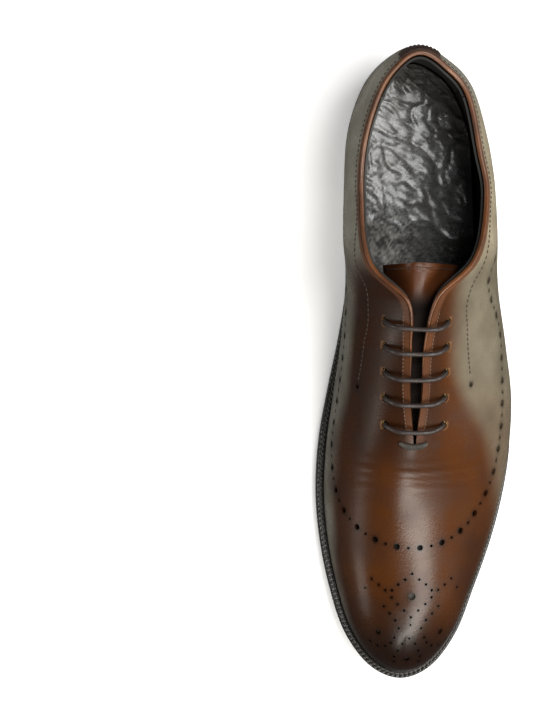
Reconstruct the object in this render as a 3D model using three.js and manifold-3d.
// A left men's wholecut oxford shoe with punched lace holes, welted leather sole and stacked heel.
// Millimetres. +Z up, +Y towards the heel, +X towards the outer side of the foot.
// The upper is a set of layers round one smooth "last". A station counts from 0 at the toe tip to
// BACK at the middle of the heel, and a rise counts from 0 at the sole to 1 at the top edge.
import * as THREE from "three";
import { mergeVertices } from "three/addons/utils/BufferGeometryUtils.js";
import Module from "manifold-3d";

const wasm = await Module();
wasm.setup();

// Driving dimensions
const LENGTH = 305;          // outsole, toe to heel
const WIDTH = 96;            // outsole, across the ball
const HEEL_HEIGHT = 23;      // ground to the underside of the outsole at the heel
const TOE_SPRING = 9;        // ground to the underside of the outsole at the toe tip
const BACK_HEIGHT = 60.7;    // welt top to the top edge at the middle of the heel
const CLEAR = 0.3;           // gap between neighbouring pieces

// Thicknesses
const OUTSOLE_THICK = 4.5;
const WELT_THICK = 2.7;
const WELT_REACH = 11;       // width of the welt strip, edge to inner edge
const INSOLE_THICK = 2.5;
const SOCK_THICK = 1.2;
const LINING_THICK = 1.0;
const STIFFENER_THICK = 1.0;
const UPPER_THICK = 1.4;
const TOP_PIECE_THICK = 6;
const LIFT_COUNT = 3;
const SHANK = { width: 12, thick: 1.8, from: 136, to: 236 };

// Places along a sole of PATTERN.length, from the toe tip
const TREAD = { from: 78, to: 128 }; // the flat part under the ball
const WAIST_LENGTH = 110;    // from the tread up to the heel seat
const HEEL_BREAST = 240;     // the front face of the heel
const HEEL_TAPER = 0.3;      // how much each layer of the heel stands in from the one above

// Lacing
const LACE_DIAMETER = 2.2;
const LACE_HOLE = LACE_DIAMETER * 2;   // punched hole in the upper
const LACE_SPREAD = 23.5;    // across each pair of holes
const LACE_ROWS = [126.8, 139.6, 151.4, 163.3, 174.6];
const EYELET_UNDER = -0.95;   // the eyelet's inner face, measured outwards from the last
const EYELET_WALL = 0.5;
const EYELET_BORE = LACE_DIAMETER * 1.5;
const EYELET_BARREL = EYELET_BORE + 2 * EYELET_WALL;
const EYELET_FLANGE = EYELET_BARREL + 2.2;
const EYELET_HOLE = EYELET_BARREL + 2 * CLEAR;
const AGLET = { length: 14, diameter: 2.8 };

// Layers, measured outwards from the last
const LINING = [0, LINING_THICK];
const STIFFENER = [LINING_THICK + CLEAR, LINING_THICK + CLEAR + STIFFENER_THICK];
const UPPER = [STIFFENER[1] + CLEAR, STIFFENER[1] + CLEAR + UPPER_THICK];
const PATCH = [UPPER[1] + CLEAR, UPPER[1] + CLEAR + 1];

// The pattern is drawn for a sole of these sizes and scaled to the driving ones.
const PATTERN = { length: 305, width: 96, back: 60.7 };
const along = LENGTH / PATTERN.length;
const across = WIDTH / PATTERN.width;
const upward = BACK_HEIGHT / PATTERN.back;
const BACK = 15;             // station at the middle of the heel
const THROAT = 6;            // station where the two facings part
const WELT_END = 10.6;       // station where the welt meets the heel rand
const BINDING_FROM = 9.2;    // station where the topline's binding starts

const SIDES = ["medial", "lateral"];

// Sole edge: [across, from the toe tip], one point per station
const SOLE = {
  tip: [-8, 0],
  medial: [[-23, 6], [-35.3, 22], [-42.8, 44], [-47.6, 68], [-49.5, 92], [-48, 117], [-43.6, 142],
    [-38.5, 167], [-34.8, 192], [-33.6, 217], [-34.4, 243], [-33.4, 267], [-26.8, 287], [-16.5, 299]],
  back: [-2.8, 305],
  lateral: [[7, 6], [19.5, 22], [28.5, 44], [36.8, 67], [42.8, 90], [46.2, 113], [46, 137],
    [41.5, 161], [36, 187], [33, 213], [31.5, 240], [29.6, 265], [21.8, 287], [11.2, 299]],
};
// Top edge of the upper: [across, from the toe tip, above the welt]. It is the ridge of the vamp
// as far as the throat, then the facing's edge, then the topline round to the heel.
const RIDGE = [[-6.6, 25, 25.5], [-6.3, 28, 27], [-5.2, 38, 30.3], [-4.5, 54, 34.4], [-4.2, 73, 39.8],
  [-4.2, 95, 47.3], [-4.2, 117, 58.7]];
const EDGE = {
  medial: [[-5.7, 141, 69.3], [-5.8, 163, 75.7], [-7.5, 184, 77.6], [-24.2, 202.5, 66.5],
    [-27, 231, 50.8], [-25.4, 256, 49.2], [-19.2, 277, 53.7], [-12, 288.5, 58.7]],
  lateral: [[-2.7, 141, 69.3], [-2.3, 163, 75.7], [3.2, 186, 77.6], [20.5, 204.5, 66.5],
    [25.8, 232, 50.8], [22.8, 252, 49.2], [17, 277.5, 53.7], [7.5, 288.5, 58.7]],
  back: [-2.8, 294.5, 60.7],
};
// Shape of each rib between the sole and the top edge, by station
const BULGE = {
  medial: through([[0, 0.12], [2, 0.15], [4, 0.1], [6, 0.12], [8, 0.3], [9, 0.38], [11, 0.38],
    [13, 0.3], [15, 0.16]]),
  lateral: through([[0, 0.12], [2, 0.38], [4, 0.48], [6, 0.52], [8, 0.6], [9, 0.55], [11, 0.42],
    [13, 0.28], [15, 0.16]]),
};
const LOW_REACH = through([[0, 0.45], [3, 0.4], [6, 0.36], [15, 0.35]]);
const TOP_REACH = through([[0, 0.45], [2, 0.42], [4, 0.36], [6, 0.33], [15, 0.34]]);
const TOP_FALL = through([[0, 4], [3, 0], [5, 0], [6, 8], [7, 24], [8, 31], [9, 42], [10, 60],
  [11, 68], [12, 70], [15, 74]]);
const RIDGE_SHARE = through([[0, 1], [8, 1], [10, 0], [15, 0]]);

// Width of welt left showing outside the upper
const WELT_SHOWS = through([[0, 4.2], [150, 4], [200, 2.2], [240, 1.6], [305, 1.6]]);

// A smooth function through [place, value] pairs, level beyond both ends
function through(points) {
  const last = points.length - 1;
  const slope = points.map((_, i) => {
    const a = points[Math.max(i - 1, 0)];
    const b = points[Math.min(i + 1, last)];
    return (b[1] - a[1]) / (b[0] - a[0]);
  });
  return (place) => {
    if (place <= points[0][0]) return points[0][1];
    if (place >= points[last][0]) return points[last][1];
    const i = points.findIndex((point) => point[0] > place) - 1;
    const span = points[i + 1][0] - points[i][0];
    const u = (place - points[i][0]) / span;
    return hermite(points[i][1], slope[i] * span, points[i + 1][1], slope[i + 1] * span, u);
  };
}

function hermite(a, slopeA, b, slopeB, u) {
  return a * (1 + 2 * u) * (1 - u) ** 2 + slopeA * u * (1 - u) ** 2
    + b * u * u * (3 - 2 * u) + slopeB * u * u * (u - 1);
}

const smooth = (u) => u * u * (3 - 2 * u);
const sideSign = (side) => (side === "medial" ? -1 : 1);

// Underside of the outsole: sprung toe, flat tread, arched waist, level heel seat
function underside(y) {
  const t = y / along;
  if (t < TREAD.from) return TOE_SPRING * ((TREAD.from - t) / TREAD.from) ** 2;
  if (t < TREAD.to) return 0;
  return HEEL_HEIGHT * smooth(Math.min((t - TREAD.to) / WAIST_LENGTH, 1));
}
const outsoleTop = (y) => underside(y) + OUTSOLE_THICK;
const weltBase = (y) => outsoleTop(y) + CLEAR;
const weltTop = (y) => weltBase(y) + WELT_THICK;
const lastBase = (y) => weltTop(y) + CLEAR;
const lastInset = (y) => WELT_SHOWS(y / along) + UPPER[1];

// Sole edge as one closed curve
const soleCurve = new THREE.CatmullRomCurve3(
  [SOLE.tip, ...SOLE.medial, SOLE.back, ...[...SOLE.lateral].reverse()]
    .map(([x, t]) => new THREE.Vector3(x * across, t * along, 0)), true, "catmullrom", 0.5);

// Point on the sole edge at a station, moved inwards by inset
function soleEdge(side, station, inset = 0) {
  const u = station / (2 * BACK);
  const place = side === "medial" ? u : 1 - u;
  const wrapped = ((place % 1) + 1) % 1;
  const point = soleCurve.getPoint(wrapped);
  const run = soleCurve.getTangent(wrapped);
  const out = new THREE.Vector3(-run.y, run.x, 0);
  const depth = typeof inset === "function" ? inset(point.y) : inset;
  return { point: point.addScaledVector(out, -depth), out };
}

// Point and run of the upper's top edge at a station
const edgePoints = {};
for (const side of SIDES) {
  edgePoints[side] = [...RIDGE, ...EDGE[side], EDGE.back].map(([x, t, h]) => {
    const y = t * along;
    return new THREE.Vector3(x * across, y, lastBase(y) + h * upward);
  });
}
function edgeRun(side, i) {
  const points = edgePoints[side];
  if (i === 0) return points[1].clone().sub(points[0]);
  if (i === BACK) return new THREE.Vector3(-sideSign(side) * 10 * across, 0, 0);
  const ahead = points[i + 1].clone();
  if (i === THROAT) ahead.add(edgePoints.medial[i + 1]).add(edgePoints.lateral[i + 1])
    .sub(points[i + 1]).multiplyScalar(0.5);
  return ahead.sub(points[i - 1]).multiplyScalar(0.5);
}
function topEdge(side, station) {
  const i = Math.min(Math.floor(station), BACK - 1);
  const u = station - i;
  const [a, b] = [edgePoints[side][i], edgePoints[side][i + 1]];
  const [runA, runB] = [edgeRun(side, i), edgeRun(side, i + 1)];
  const point = new THREE.Vector3(...["x", "y", "z"].map((k) => hermite(a[k], runA[k], b[k], runB[k], u)));
  return { point, run: runA.lerp(runB, u) };
}

// Point on the last: a rib from the sole edge up to the top edge
function lastPoint(side, station, rise) {
  const foot = soleEdge(side, station, lastInset);
  foot.point.z = lastBase(foot.point.y);
  const top = topEdge(side, station);
  const chord = foot.point.distanceTo(top.point);
  const low = foot.out.clone().multiplyScalar(BULGE[side](station)).setZ(1).normalize();
  const fall = THREE.MathUtils.degToRad(TOP_FALL(station));
  const ridge = RIDGE_SHARE(station) * top.run.z / Math.max(Math.abs(top.run.y), 1) * foot.out.y;
  const high = foot.out.clone().multiplyScalar(Math.cos(fall)).setZ(ridge - Math.sin(fall));
  const a = foot.point.clone().addScaledVector(low, LOW_REACH(station) * chord);
  const b = top.point.clone().addScaledVector(high.normalize(), TOP_REACH(station) * chord);
  return new THREE.CubicBezierCurve3(foot.point, a, b, top.point).getPoint(rise);
}

function lastNormal(side, station, rise) {
  const step = 0.02;
  const s = Math.min(Math.max(station, step), BACK - step);
  const v = Math.min(Math.max(rise, step), 1 - step);
  const p = lastPoint(side, s, v);
  const ahead = lastPoint(side, s + step, v).sub(p);
  const up = lastPoint(side, s, v + step).sub(p);
  return ahead.cross(up).multiplyScalar(sideSign(side)).normalize();
}

// Station and rise of the place on the last above a point of the plan
function above(side, x, y) {
  let best = { station: 7.5, rise: 0.7, off: Infinity };
  let [spanS, spanR] = [7.5, 0.3];
  for (let pass = 0; pass < 7; pass++) {
    const middle = best;
    for (let i = -8; i <= 8; i++) {
      for (let j = -8; j <= 8; j++) {
        const station = THREE.MathUtils.clamp(middle.station + spanS * i / 8, 0, BACK);
        const rise = THREE.MathUtils.clamp(middle.rise + spanR * j / 8, 0, 1);
        const p = lastPoint(side, station, rise);
        const off = Math.hypot(p.x - x, p.y - y);
        if (off < best.off) best = { station, rise, off };
      }
    }
    spanS /= 4;
    spanR /= 4;
  }
  return best;
}

// A closed solid from rings of equal length, with flat ends
function loft(rings) {
  const n = rings[0].length;
  const position = rings.flat().flatMap((p) => [p.x, p.y, p.z]);
  const index = [];
  for (let i = 0; i + 1 < rings.length; i++) {
    for (let j = 0; j < n; j++) {
      const [a, b] = [i * n + j, i * n + (j + 1) % n];
      index.push(a, b, b + n, a, b + n, a + n);
    }
  }
  const end = (rings.length - 1) * n;
  for (let j = 1; j + 1 < n; j++) index.push(0, j + 1, j, end, end + j, end + j + 1);
  return closed(position, index);
}

// Geometry from points and triangles, turned so that its faces point out
function closed(position, index) {
  const geometry = new THREE.BufferGeometry();
  geometry.setAttribute("position", new THREE.Float32BufferAttribute(position, 3));
  geometry.setIndex(volume(position, index) < 0 ? index.toReversed() : index);
  return geometry;
}
function volume(position, index) {
  const corner = (i) => new THREE.Vector3().fromArray(position, index[i] * 3);
  let sum = 0;
  for (let i = 0; i < index.length; i += 3) sum += corner(i).dot(corner(i + 1).cross(corner(i + 2)));
  return sum;
}

// A slab across the whole sole between two heights, from one place along it to another
const CURVED_ROWS = 44;
const LEVEL_ROWS = 20;
function slab(inset, low, high, from = 0, to = LENGTH) {
  const count = typeof low === "function" ? CURVED_ROWS : LEVEL_ROWS;
  const edges = SIDES.map((side) => {
    const line = [];
    for (let k = 0; k <= BACK * 8; k++) {
      const p = soleEdge(side, k / 8, inset).point;
      if (!line.length || p.y > line.at(-1)[0] + 0.01) line.push([p.y, p.x]);
    }
    return line;
  });
  const start = Math.max(from, edges[0][0][0], edges[1][0][0]) + 0.02;
  const end = Math.min(to, edges[0].at(-1)[0], edges[1].at(-1)[0]) - 0.02;
  const rings = [];
  for (let i = 0; i <= count; i++) {
    const y = (start + end) / 2 - (end - start) / 2 * Math.cos(Math.PI * i / count);
    const [m, l] = edges.map((line) => {
      const k = Math.min(Math.max(line.findIndex((p) => p[0] >= y), 1), line.length - 1);
      const [a, b] = [line[k - 1], line[k]];
      return THREE.MathUtils.lerp(a[1], b[1], (y - a[0]) / (b[0] - a[0]));
    });
    rings.push([[m, low], [l, low], [l, high], [m, high]]
      .map(([x, z]) => new THREE.Vector3(x, y, typeof z === "function" ? z(y) : z)));
  }
  return loft(rings);
}

// A strip that follows the sole edge, through the given [side, station] places
function edgeStrip(places, inset, reach, low, high) {
  return loft(places.map(([side, station]) => {
    const outer = soleEdge(side, station, inset).point;
    const inner = soleEdge(side, station, inset + reach).point;
    return [[outer, low], [inner, low], [inner, high], [outer, high]]
      .map(([p, z]) => p.clone().setZ(z(p.y)));
  }));
}
function stations(from, to, perStation = 2) {
  const list = [from];
  for (let k = Math.floor(from * perStation + 1e-6) + 1; k < to * perStation - 1e-6; k++) {
    list.push(k / perStation);
  }
  return [...list, to];
}
const roundToe = (end) => [...stations(0, end).reverse().map((s) => ["medial", s]),
  ...stations(0, end).slice(1).map((s) => ["lateral", s])];
const roundHeel = (start) => [...stations(start, BACK).map((s) => ["medial", s]),
  ...stations(start, BACK).reverse().slice(1).map((s) => ["lateral", s])];

// Grid lines shared by every layer of the upper, so that neighbouring layers stay parallel
const RISES = [0, 0.1, 0.22, 0.36, 0.5, 0.64, 0.77, 0.89, 1];

// A layer of the upper between two offsets from the last. Each region is one side of the shoe
// from one station to another and one rise to another; regions that share an edge are joined.
function layer(regions, [inner, outer]) {
  const keys = new Map();
  const points = [];
  const faces = [];
  const corner = (p) => {
    const key = [p.x, p.y, p.z].map((c) => Math.round(c * 1000)).join();
    if (!keys.has(key)) keys.set(key, points.push(p) - 1);
    return keys.get(key);
  };
  for (const { side, from, to, low = 0, high = 1 } of regions) {
    const rises = [low, ...RISES.filter((v) => v > low + 0.01 && v < high - 0.01), high];
    const grid = stations(from, to).map((s) => rises.map((v) => corner(lastPoint(side, s, v))));
    for (let i = 0; i + 1 < grid.length; i++) {
      for (let j = 0; j + 1 < rises.length; j++) {
        const [a, b, c, d] = [grid[i][j], grid[i + 1][j], grid[i + 1][j + 1], grid[i][j + 1]];
        const quad = side === "medial" ? [a, c, b, a, d, c] : [a, b, c, a, c, d];
        for (const tri of [quad.slice(0, 3), quad.slice(3)]) {
          if (new Set(tri).size === 3) faces.push(tri);
        }
      }
    }
  }
  return thicken(points, faces, inner, outer);
}

// A closed solid between two offsets of an open surface
function thicken(points, faces, inner, outer) {
  const normals = points.map(() => new THREE.Vector3());
  const edges = new Map();
  for (const [a, b, c] of faces) {
    const normal = points[b].clone().sub(points[a]).cross(points[c].clone().sub(points[a]));
    for (const i of [a, b, c]) normals[i].add(normal);
    for (const [i, j] of [[a, b], [b, c], [c, a]]) {
      if (edges.has(`${j} ${i}`)) edges.delete(`${j} ${i}`);
      else edges.set(`${i} ${j}`, [i, j]);
    }
  }
  const onWelt = points.map((p) => p.z < lastBase(p.y) + 0.01);
  const shift = (i, depth) => {
    const normal = onWelt[i] ? normals[i].setZ(0) : normals[i];
    const p = points[i].clone().addScaledVector(normal.normalize(), depth);
    return onWelt[i] ? p.setZ(lastBase(p.y)) : p;
  };
  const n = points.length;
  const position = [outer, inner]
    .flatMap((depth) => points.flatMap((_, i) => shift(i, depth).toArray()));
  const index = faces.flatMap(([a, b, c]) => [a, b, c, a + n, c + n, b + n]);
  for (const [i, j] of edges.values()) index.push(j, i, i + n, j, i + n, j + n);
  return closed(position, index);
}
const bothSides = (from, to, low, high) => SIDES.map((side) => ({ side, from, to, low, high }));

// Joining and cutting
function solid(geometry) {
  const bare = geometry.clone();
  bare.deleteAttribute("normal");
  bare.deleteAttribute("uv");
  const merged = mergeVertices(bare, 1e-4);
  return new wasm.Manifold(new wasm.Mesh({ numProp: 3, vertProperties: merged.attributes.position.array,
    triVerts: new Uint32Array(merged.index.array) }));
}
function cut(geometry, tools) {
  const body = tools.reduce((left, tool) => left.subtract(solid(tool)), solid(geometry)).getMesh();
  const result = new THREE.BufferGeometry();
  result.setAttribute("position", new THREE.BufferAttribute(body.vertProperties, 3));
  result.setIndex(new THREE.BufferAttribute(body.triVerts, 1));
  return result;
}

// Places of the lace holes: on each facing, the toe end first
const MIDLINE = RIDGE.at(-1)[0];
const laceHoles = {};
for (const side of SIDES) {
  laceHoles[side] = LACE_ROWS.map((t) => {
    const place = above(side, MIDLINE * across + sideSign(side) * LACE_SPREAD / 2, t * along);
    const normal = lastNormal(side, place.station, place.rise);
    return { ...place, point: lastPoint(side, place.station, place.rise), normal };
  });
}
const UP = new THREE.Vector3(0, 0, 1);
function alongHole(geometry, hole, offset) {
  geometry.applyQuaternion(new THREE.Quaternion().setFromUnitVectors(UP, hole.normal));
  return geometry.translate(...hole.point.clone().addScaledVector(hole.normal, offset));
}
function drill(hole, diameter) {
  const rod = new THREE.CylinderGeometry(diameter / 2, diameter / 2, 14, 10).rotateX(Math.PI / 2);
  return alongHole(rod, hole, 0);
}
const drills = (sides, diameter) => sides
  .flatMap((side) => laceHoles[side].map((hole) => drill(hole, diameter)));

// Colours
const TAN = 0x6b3f22;
const DARK_BROWN = 0x3a2418;
const BLACK_SOLE = 0x1c1816;
const GREY_LINING = 0x2c2b2a;
const NATURAL = 0xb08a62;
const GREY_SOCK = 0x3a3a3a;
const TONGUE_BROWN = 0x4a2a18;
const EDGE_TAN = 0x9a5a2c;
const THREAD_GREY = 0x55504a;
const LACE_GREY = 0x4b423d;
const AGLET_BROWN = 0x2a2624;
const BRASS = 0xb59a6a;
const STEEL = 0x8c8f94;
const CORK = 0x8a6440;
const RUBBER = 0x151515;
const shoe = new THREE.Group();
function add(name, geometry, color, roughness = 0.6, metalness = 0) {
  const mesh = new THREE.Mesh(geometry, new THREE.MeshStandardMaterial({ color, roughness, metalness }));
  mesh.name = name;
  shoe.add(mesh);
}

// Bottom: heel, outsole, welt, filler, shank, insole and sock
function buildBottom() {
  const breast = HEEL_BREAST * along;
  const heelInset = (level) => HEEL_TAPER * (LIFT_COUNT + 1 - level);
  add("heel_top_piece", slab(heelInset(0), 0, TOP_PIECE_THICK, breast), RUBBER, 0.8);
  const liftsFrom = TOP_PIECE_THICK + CLEAR;
  const pitch = (HEEL_HEIGHT - liftsFrom) / LIFT_COUNT;
  for (let i = 0; i < LIFT_COUNT; i++) {
    const low = liftsFrom + i * pitch;
    add(`heel_lift_${i + 1}`, slab(heelInset(i + 1), low, low + pitch - CLEAR, breast), BLACK_SOLE);
  }
  add("outsole", slab(0, underside, outsoleTop), BLACK_SOLE, 0.5);
  const rim = (places) => edgeStrip(places, 0, WELT_REACH, weltBase, weltTop);
  add("welt", rim(roundToe(WELT_END)), BLACK_SOLE, 0.55);
  add("heel_rand", rim(roundHeel(WELT_END + 0.05)), BLACK_SOLE, 0.55);
  const filler = slab(WELT_REACH + CLEAR, weltBase, weltTop, 0, SHANK.from * along - CLEAR);
  add("cork_filler", filler, CORK, 0.9);
  add("shank", buildShank(), STEEL, 0.35, 1);
  const insoleTop = (y) => lastBase(y) + INSOLE_THICK;
  add("insole_board", slab((y) => lastInset(y) + CLEAR + 0.1, lastBase, insoleTop), NATURAL, 0.8);
  const sockBase = (y) => insoleTop(y) + CLEAR;
  const sockTop = (y) => sockBase(y) + SOCK_THICK;
  add("sock_lining", slab((y) => lastInset(y) + 2 * CLEAR, sockBase, sockTop), GREY_SOCK, 0.4);
}
function buildShank() {
  const rings = [];
  for (let i = 0; i <= 14; i++) {
    const y = THREE.MathUtils.lerp(SHANK.from, SHANK.to, i / 14) * along;
    const end = Math.min(i, 14 - i);
    const half = SHANK.width / 2 * (end === 0 ? 0.6 : 1);
    const low = weltBase(y) + CLEAR;
    rings.push([[-half, low], [half, low], [half, low + SHANK.thick], [-half, low + SHANK.thick]]
      .map(([x, z]) => new THREE.Vector3(x - 1.5 * across, y, z)));
  }
  return loft(rings);
}

// Upper: one-piece leather, its stiffeners and its linings
const EDGE_IN = 0.985;       // rise at which linings and stays stop short of the folded edge
const JOIN = 0.02;           // stations left open between two linings that meet
function buildUpper() {
  add("wholecut_upper", cut(layer(bothSides(0, BACK), UPPER), drills(SIDES, LACE_HOLE)), TAN, 0.4);
  add("toe_puff", layer(bothSides(0, 2.5, 0.1, 1), STIFFENER), NATURAL, 0.9);
  add("heel_counter", layer(bothSides(12, BACK, 0.1, 0.77), STIFFENER), NATURAL, 0.9);
  add("vamp_lining", layer(bothSides(0, THROAT - JOIN), LINING), GREY_LINING, 0.7);
  for (const side of SIDES) {
    const stay = layer([{ side, from: 6.5, to: 9, low: 0.64, high: EDGE_IN }], STIFFENER);
    add(`facing_stay_${side}`, cut(stay, drills([side], EYELET_HOLE)), NATURAL, 0.9);
    const lining = layer([{ side, from: THROAT + JOIN, to: 13, high: EDGE_IN }], LINING);
    add(`quarter_lining_${side}`, cut(lining, drills([side], EYELET_HOLE)), GREY_LINING, 0.7);
  }
  add("heel_grip", layer(bothSides(13 + JOIN, BACK, 0, EDGE_IN), LINING), GREY_LINING, 0.85);
  add("back_tab", layer(bothSides(14.4, BACK, 0.83, EDGE_IN), PATCH), DARK_BROWN, 0.5);
  add("topline_binding", buildBinding(), EDGE_TAN, 0.5);
}
function buildBinding() {
  const half = { out: UPPER[1] / 2 + 0.2, up: 0.8 };
  const places = roundHeel(BINDING_FROM);
  return loft(places.map(([side, station]) => {
    const edge = lastPoint(side, station, 1);
    const out = lastNormal(side, station, 1);
    const up = edge.clone().sub(lastPoint(side, station, 0.97)).normalize();
    const centre = edge.addScaledVector(out, UPPER[1] / 2).addScaledVector(up, half.up + CLEAR);
    return [...Array(6).keys()].map((k) => {
      const turn = (k + 0.5) * Math.PI / 3;
      return centre.clone().addScaledVector(out, half.out * Math.cos(turn))
        .addScaledVector(up, half.up * Math.sin(turn));
    });
  }));
}

// Tongue: a padded leather flap and its lining, arched like the instep, sewn in at the throat
const TONGUE = { from: 115, to: 200, thick: 1.6, lining: 1.0, fall: 0.42, crest: 8, flat: 5.5, sink: 1.9 };
const TONGUE_HALF = {
  medial: through([[115, 12], [130, 16.5], [200, 20]]),
  lateral: through([[115, 12], [130, 16.5], [200, 24.5]]),
};
const TONGUE_DEPTH = through([[115, 2.4], [122, 4.8], [200, 4.8]]);
const INSTEP = through([[115, 57.5], [125, 62.7], [135, 67.2], [145, 70.8], [155, 73.7], [165, 76.1],
  [175, 78], [185, 78.6], [195, 78.2], [205, 77]]);
const CAMBER = {
  medial: through([[115, 0.0065], [185, 0.044], [200, 0.046]]),
  lateral: through([[115, 0.0015], [185, 0.026], [200, 0.028]]),
};
function archPoint(x, t) {
  const side = x < MIDLINE ? "medial" : "lateral";
  const off = Math.abs(x - MIDLINE);
  const ridge = Math.hypot(off, TONGUE.crest) - TONGUE.crest;
  const level = off ** 4 / (off * off + TONGUE.flat ** 2);
  const height = INSTEP(t) - TONGUE.sink - TONGUE.fall * ridge - CAMBER[side](t) * level;
  return new THREE.Vector3(x * across, t * along, lastBase(t * along) + height * upward);
}
const TONGUE_ROWS = 12;
const TONGUE_COLUMNS = 10;
function tongueLayer([inner, outer]) {
  const points = [];
  const faces = [];
  for (let i = 0; i <= TONGUE_ROWS; i++) {
    const t = THREE.MathUtils.lerp(TONGUE.from, TONGUE.to, i / TONGUE_ROWS);
    for (let j = 0; j <= TONGUE_COLUMNS; j++) {
      const share = 2 * j / TONGUE_COLUMNS - 1;
      const x = MIDLINE + TONGUE_HALF[share < 0 ? "medial" : "lateral"](t) * share;
      const p = archPoint(x, t);
      const slopeX = archPoint(x + 0.5, t).sub(archPoint(x - 0.5, t));
      const slopeT = archPoint(x, t + 0.5).sub(archPoint(x, t - 0.5));
      points.push(p.addScaledVector(slopeX.cross(slopeT).normalize(), -TONGUE_DEPTH(t)));
      if (i === 0 || j === 0) continue;
      const d = points.length - 1;
      const [a, b, c] = [d - TONGUE_COLUMNS - 2, d - TONGUE_COLUMNS - 1, d - 1];
      faces.push([a, b, d], [a, d, c]);
    }
  }
  return thicken(points, faces, inner, outer);
}
function buildTongue() {
  const lined = -TONGUE.thick - CLEAR;
  add("tongue", tongueLayer([-TONGUE.thick, 0]), TONGUE_BROWN, 0.5);
  add("tongue_lining", tongueLayer([lined - TONGUE.lining, lined]), GREY_LINING, 0.8);
}

// Place on or under the upper: plan position and offset from the last
function onLast(x, t, offset) {
  const side = x < MIDLINE ? "medial" : "lateral";
  const place = above(side, x * across, t * along);
  const normal = lastNormal(side, place.station, place.rise);
  return lastPoint(side, place.station, place.rise).addScaledVector(normal, offset);
}

// Thread bar that closes the throat
const TACK = { half: 6.2, thick: 1.2, bow: 2.2 };
function buildBarTack() {
  const rings = [-1, -0.7, -0.35, 0.001, 0.35, 0.7, 1].map((k) => {
    const x = MIDLINE - 0.4 + TACK.half * k;
    const t = RIDGE.at(-1)[1] - 1.6 + TACK.bow * k * k;
    const low = onLast(x, t, UPPER[1] + CLEAR + 0.25);
    const high = onLast(x, t, UPPER[1] + CLEAR + 0.25 + TACK.thick);
    const half = new THREE.Vector3(0, TACK.thick * (Math.abs(k) === 1 ? 0.3 : 0.6), 0);
    return [low.clone().sub(half), low.clone().add(half), high.clone().addScaledVector(half, 0.5),
      high.clone().addScaledVector(half, -0.5)];
  });
  add("throat_bar_tack", loft(rings), THREAD_GREY, 0.6);
}

// Blind eyelets, clenched under the leather through the stay and the lining
function buildEyelets() {
  const under = EYELET_UNDER;
  const shoulder = under + 0.55;
  const top = STIFFENER[1] - 0.1;
  const [bore, barrel, flange] = [EYELET_BORE / 2, EYELET_BARREL / 2, EYELET_FLANGE / 2];
  const profile = [[bore, under], [flange, under], [flange, shoulder], [barrel, shoulder], [barrel, top],
    [bore, top], [bore, under]].map(([r, y]) => new THREE.Vector2(r, y));
  for (const side of SIDES) {
    laceHoles[side].forEach((hole, row) => {
      const ring = new THREE.LatheGeometry(profile, 10).rotateX(Math.PI / 2);
      add(`eyelet_${side}_${row + 1}`, alongHole(ring, hole, 0), BRASS, 0.35, 1);
    });
  }
}

// Lace: five straight bars outside, the runs between rows inside, both ends tucked into the forefoot
const LACE_TOP = UPPER[1] + LACE_DIAMETER / 2 + 0.6;
const LACE_UNDER = EYELET_UNDER - LACE_DIAMETER / 2 - 0.4;
const BAR_SAG = 1.9;         // how far the middle of a bar bows towards the toe
const BAR_LIFT = 2.1;        // how far the middle stands above the holes' level
function laceHolePoints(side, row, lead) {
  const hole = laceHoles[side][row];
  const at = (offset, dx = 0, dy = 0) => {
    const p = hole.point.clone().addScaledVector(hole.normal, offset);
    return dx || dy ? onLast(p.x / across + dx - hole.normal.x * offset / across,
      hole.point.y / along + dy, offset) : p;
  };
  const inwards = -sideSign(side);
  return [at(LACE_UNDER, lead[0] * sideSign(side), lead[1]), at(EYELET_UNDER - 0.25), at(UPPER[1] - 0.1),
    at(LACE_TOP + 0.2, 1.9 * inwards, -0.4)];
}
function laceBar(from, row, leadIn, leadOut) {
  const to = from === "medial" ? "lateral" : "medial";
  const t = LACE_ROWS[row];
  const near = sideSign(from) * 5;
  const [a, b] = [near, -near].map((dx) => onLast(MIDLINE + dx, t - BAR_SAG * 0.75, LACE_TOP + BAR_LIFT));
  const mid = a.clone().lerp(b, 0.5).add(new THREE.Vector3(0, -BAR_SAG * 0.25 * along, 0.5));
  return [...laceHolePoints(from, row, leadIn), a, mid, b, ...laceHolePoints(to, row, leadOut).reverse()];
}
function laceRun(side, row, dx) {
  const hole = laceHoles[side][row].point;
  return onLast(hole.x / across + dx * sideSign(side), LACE_ROWS[row], LACE_UNDER);
}
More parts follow.
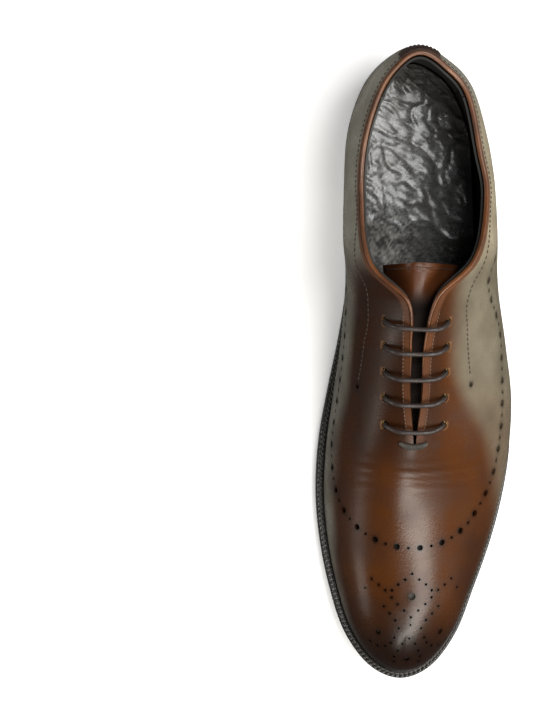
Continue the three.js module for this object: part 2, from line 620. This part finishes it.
// A free end lies down the wall and forward along the edge of the sock. Each place is its station,
// its rise and how far it is moved towards the middle.
function laceTail(side, places) {
  const floor = INSOLE_THICK + SOCK_THICK + 2 * CLEAR + AGLET.diameter / 2 + 0.5;
  return places.map(([station, rise, inwards = 0]) => {
    const p = lastPoint(side, station, rise);
    p.addScaledVector(lastNormal(side, station, rise), -LACE_DIAMETER / 2 - 0.9);
    p.x -= sideSign(side) * inwards * across;
    return p.setZ(Math.max(p.z, lastBase(p.y) + floor));
  });
}
const lacePath = [
  ...laceTail("medial", [[2.9, 0.1, 10], [3.3, 0.1, 6], [3.8, 0.1, 3], [4.4, 0.1, 1], [5.1, 0.1],
    [5.8, 0.1], [6.5, 0.1], [7.1, 0.11], [7.6, 0.16], [7.9, 0.3], [8, 0.46], [8, 0.6], [8, 0.7]]),
  ...laceBar("medial", 3, [1.6, 0], [0.3, -1.6]),
  laceRun("lateral", 2, 3.4),
  ...laceBar("lateral", 1, [0.3, 1.6], [0, -1.6]),
  ...laceBar("medial", 0, [0, 1.6], [-0.3, 1.6]),
  laceRun("lateral", 1, -3.4),
  ...laceBar("lateral", 2, [-0.3, -1.6], [-0.3, 1.6]),
  laceRun("medial", 3, -3.4),
  ...laceBar("medial", 4, [-0.3, -1.6], [1.6, 0]),
  ...laceTail("lateral", [[8.5, 0.7], [8.5, 0.6], [8.4, 0.46], [8.2, 0.3], [7.8, 0.16], [7.2, 0.11], [6.6, 0.1],
    [6, 0.1], [5.3, 0.1], [4.5, 0.1, 1], [3.8, 0.1, 3], [3.3, 0.1, 6], [2.9, 0.1, 10]]),
];
function buildLace() {
  const curve = new THREE.CatmullRomCurve3(lacePath, false, "centripetal");
  curve.getPointAt = curve.getPoint;
  curve.getTangentAt = curve.getTangent;
  const section = new THREE.Shape();
  section.absarc(0, 0, LACE_DIAMETER / 2, 0, 2 * Math.PI);
  add("lace", new THREE.ExtrudeGeometry(section, { extrudePath: curve, steps: lacePath.length - 1,
    curveSegments: 4 }), LACE_GREY, 0.6);
  [lacePath.slice(0, 2).reverse(), lacePath.slice(-2)].forEach(([before, end], i) => {
    const run = end.clone().sub(before).normalize();
    const tip = new THREE.CylinderGeometry(AGLET.diameter / 2, AGLET.diameter / 2, AGLET.length, 10);
    tip.translate(0, AGLET.length / 2 + CLEAR, 0);
    tip.applyQuaternion(new THREE.Quaternion().setFromUnitVectors(new THREE.Vector3(0, 1, 0), run));
    add(`aglet_${SIDES[i]}`, tip.translate(...end), AGLET_BROWN, 0.35);
  });
}

buildBottom();
buildUpper();
buildTongue();
buildBarTack();
buildEyelets();
buildLace();

// Origin: middle of the outline in plan, on the ground
const box = new THREE.Box3().setFromObject(shoe);
const middle = box.getCenter(new THREE.Vector3());
shoe.position.set(-middle.x, -middle.y, -box.min.z);

export default shoe;
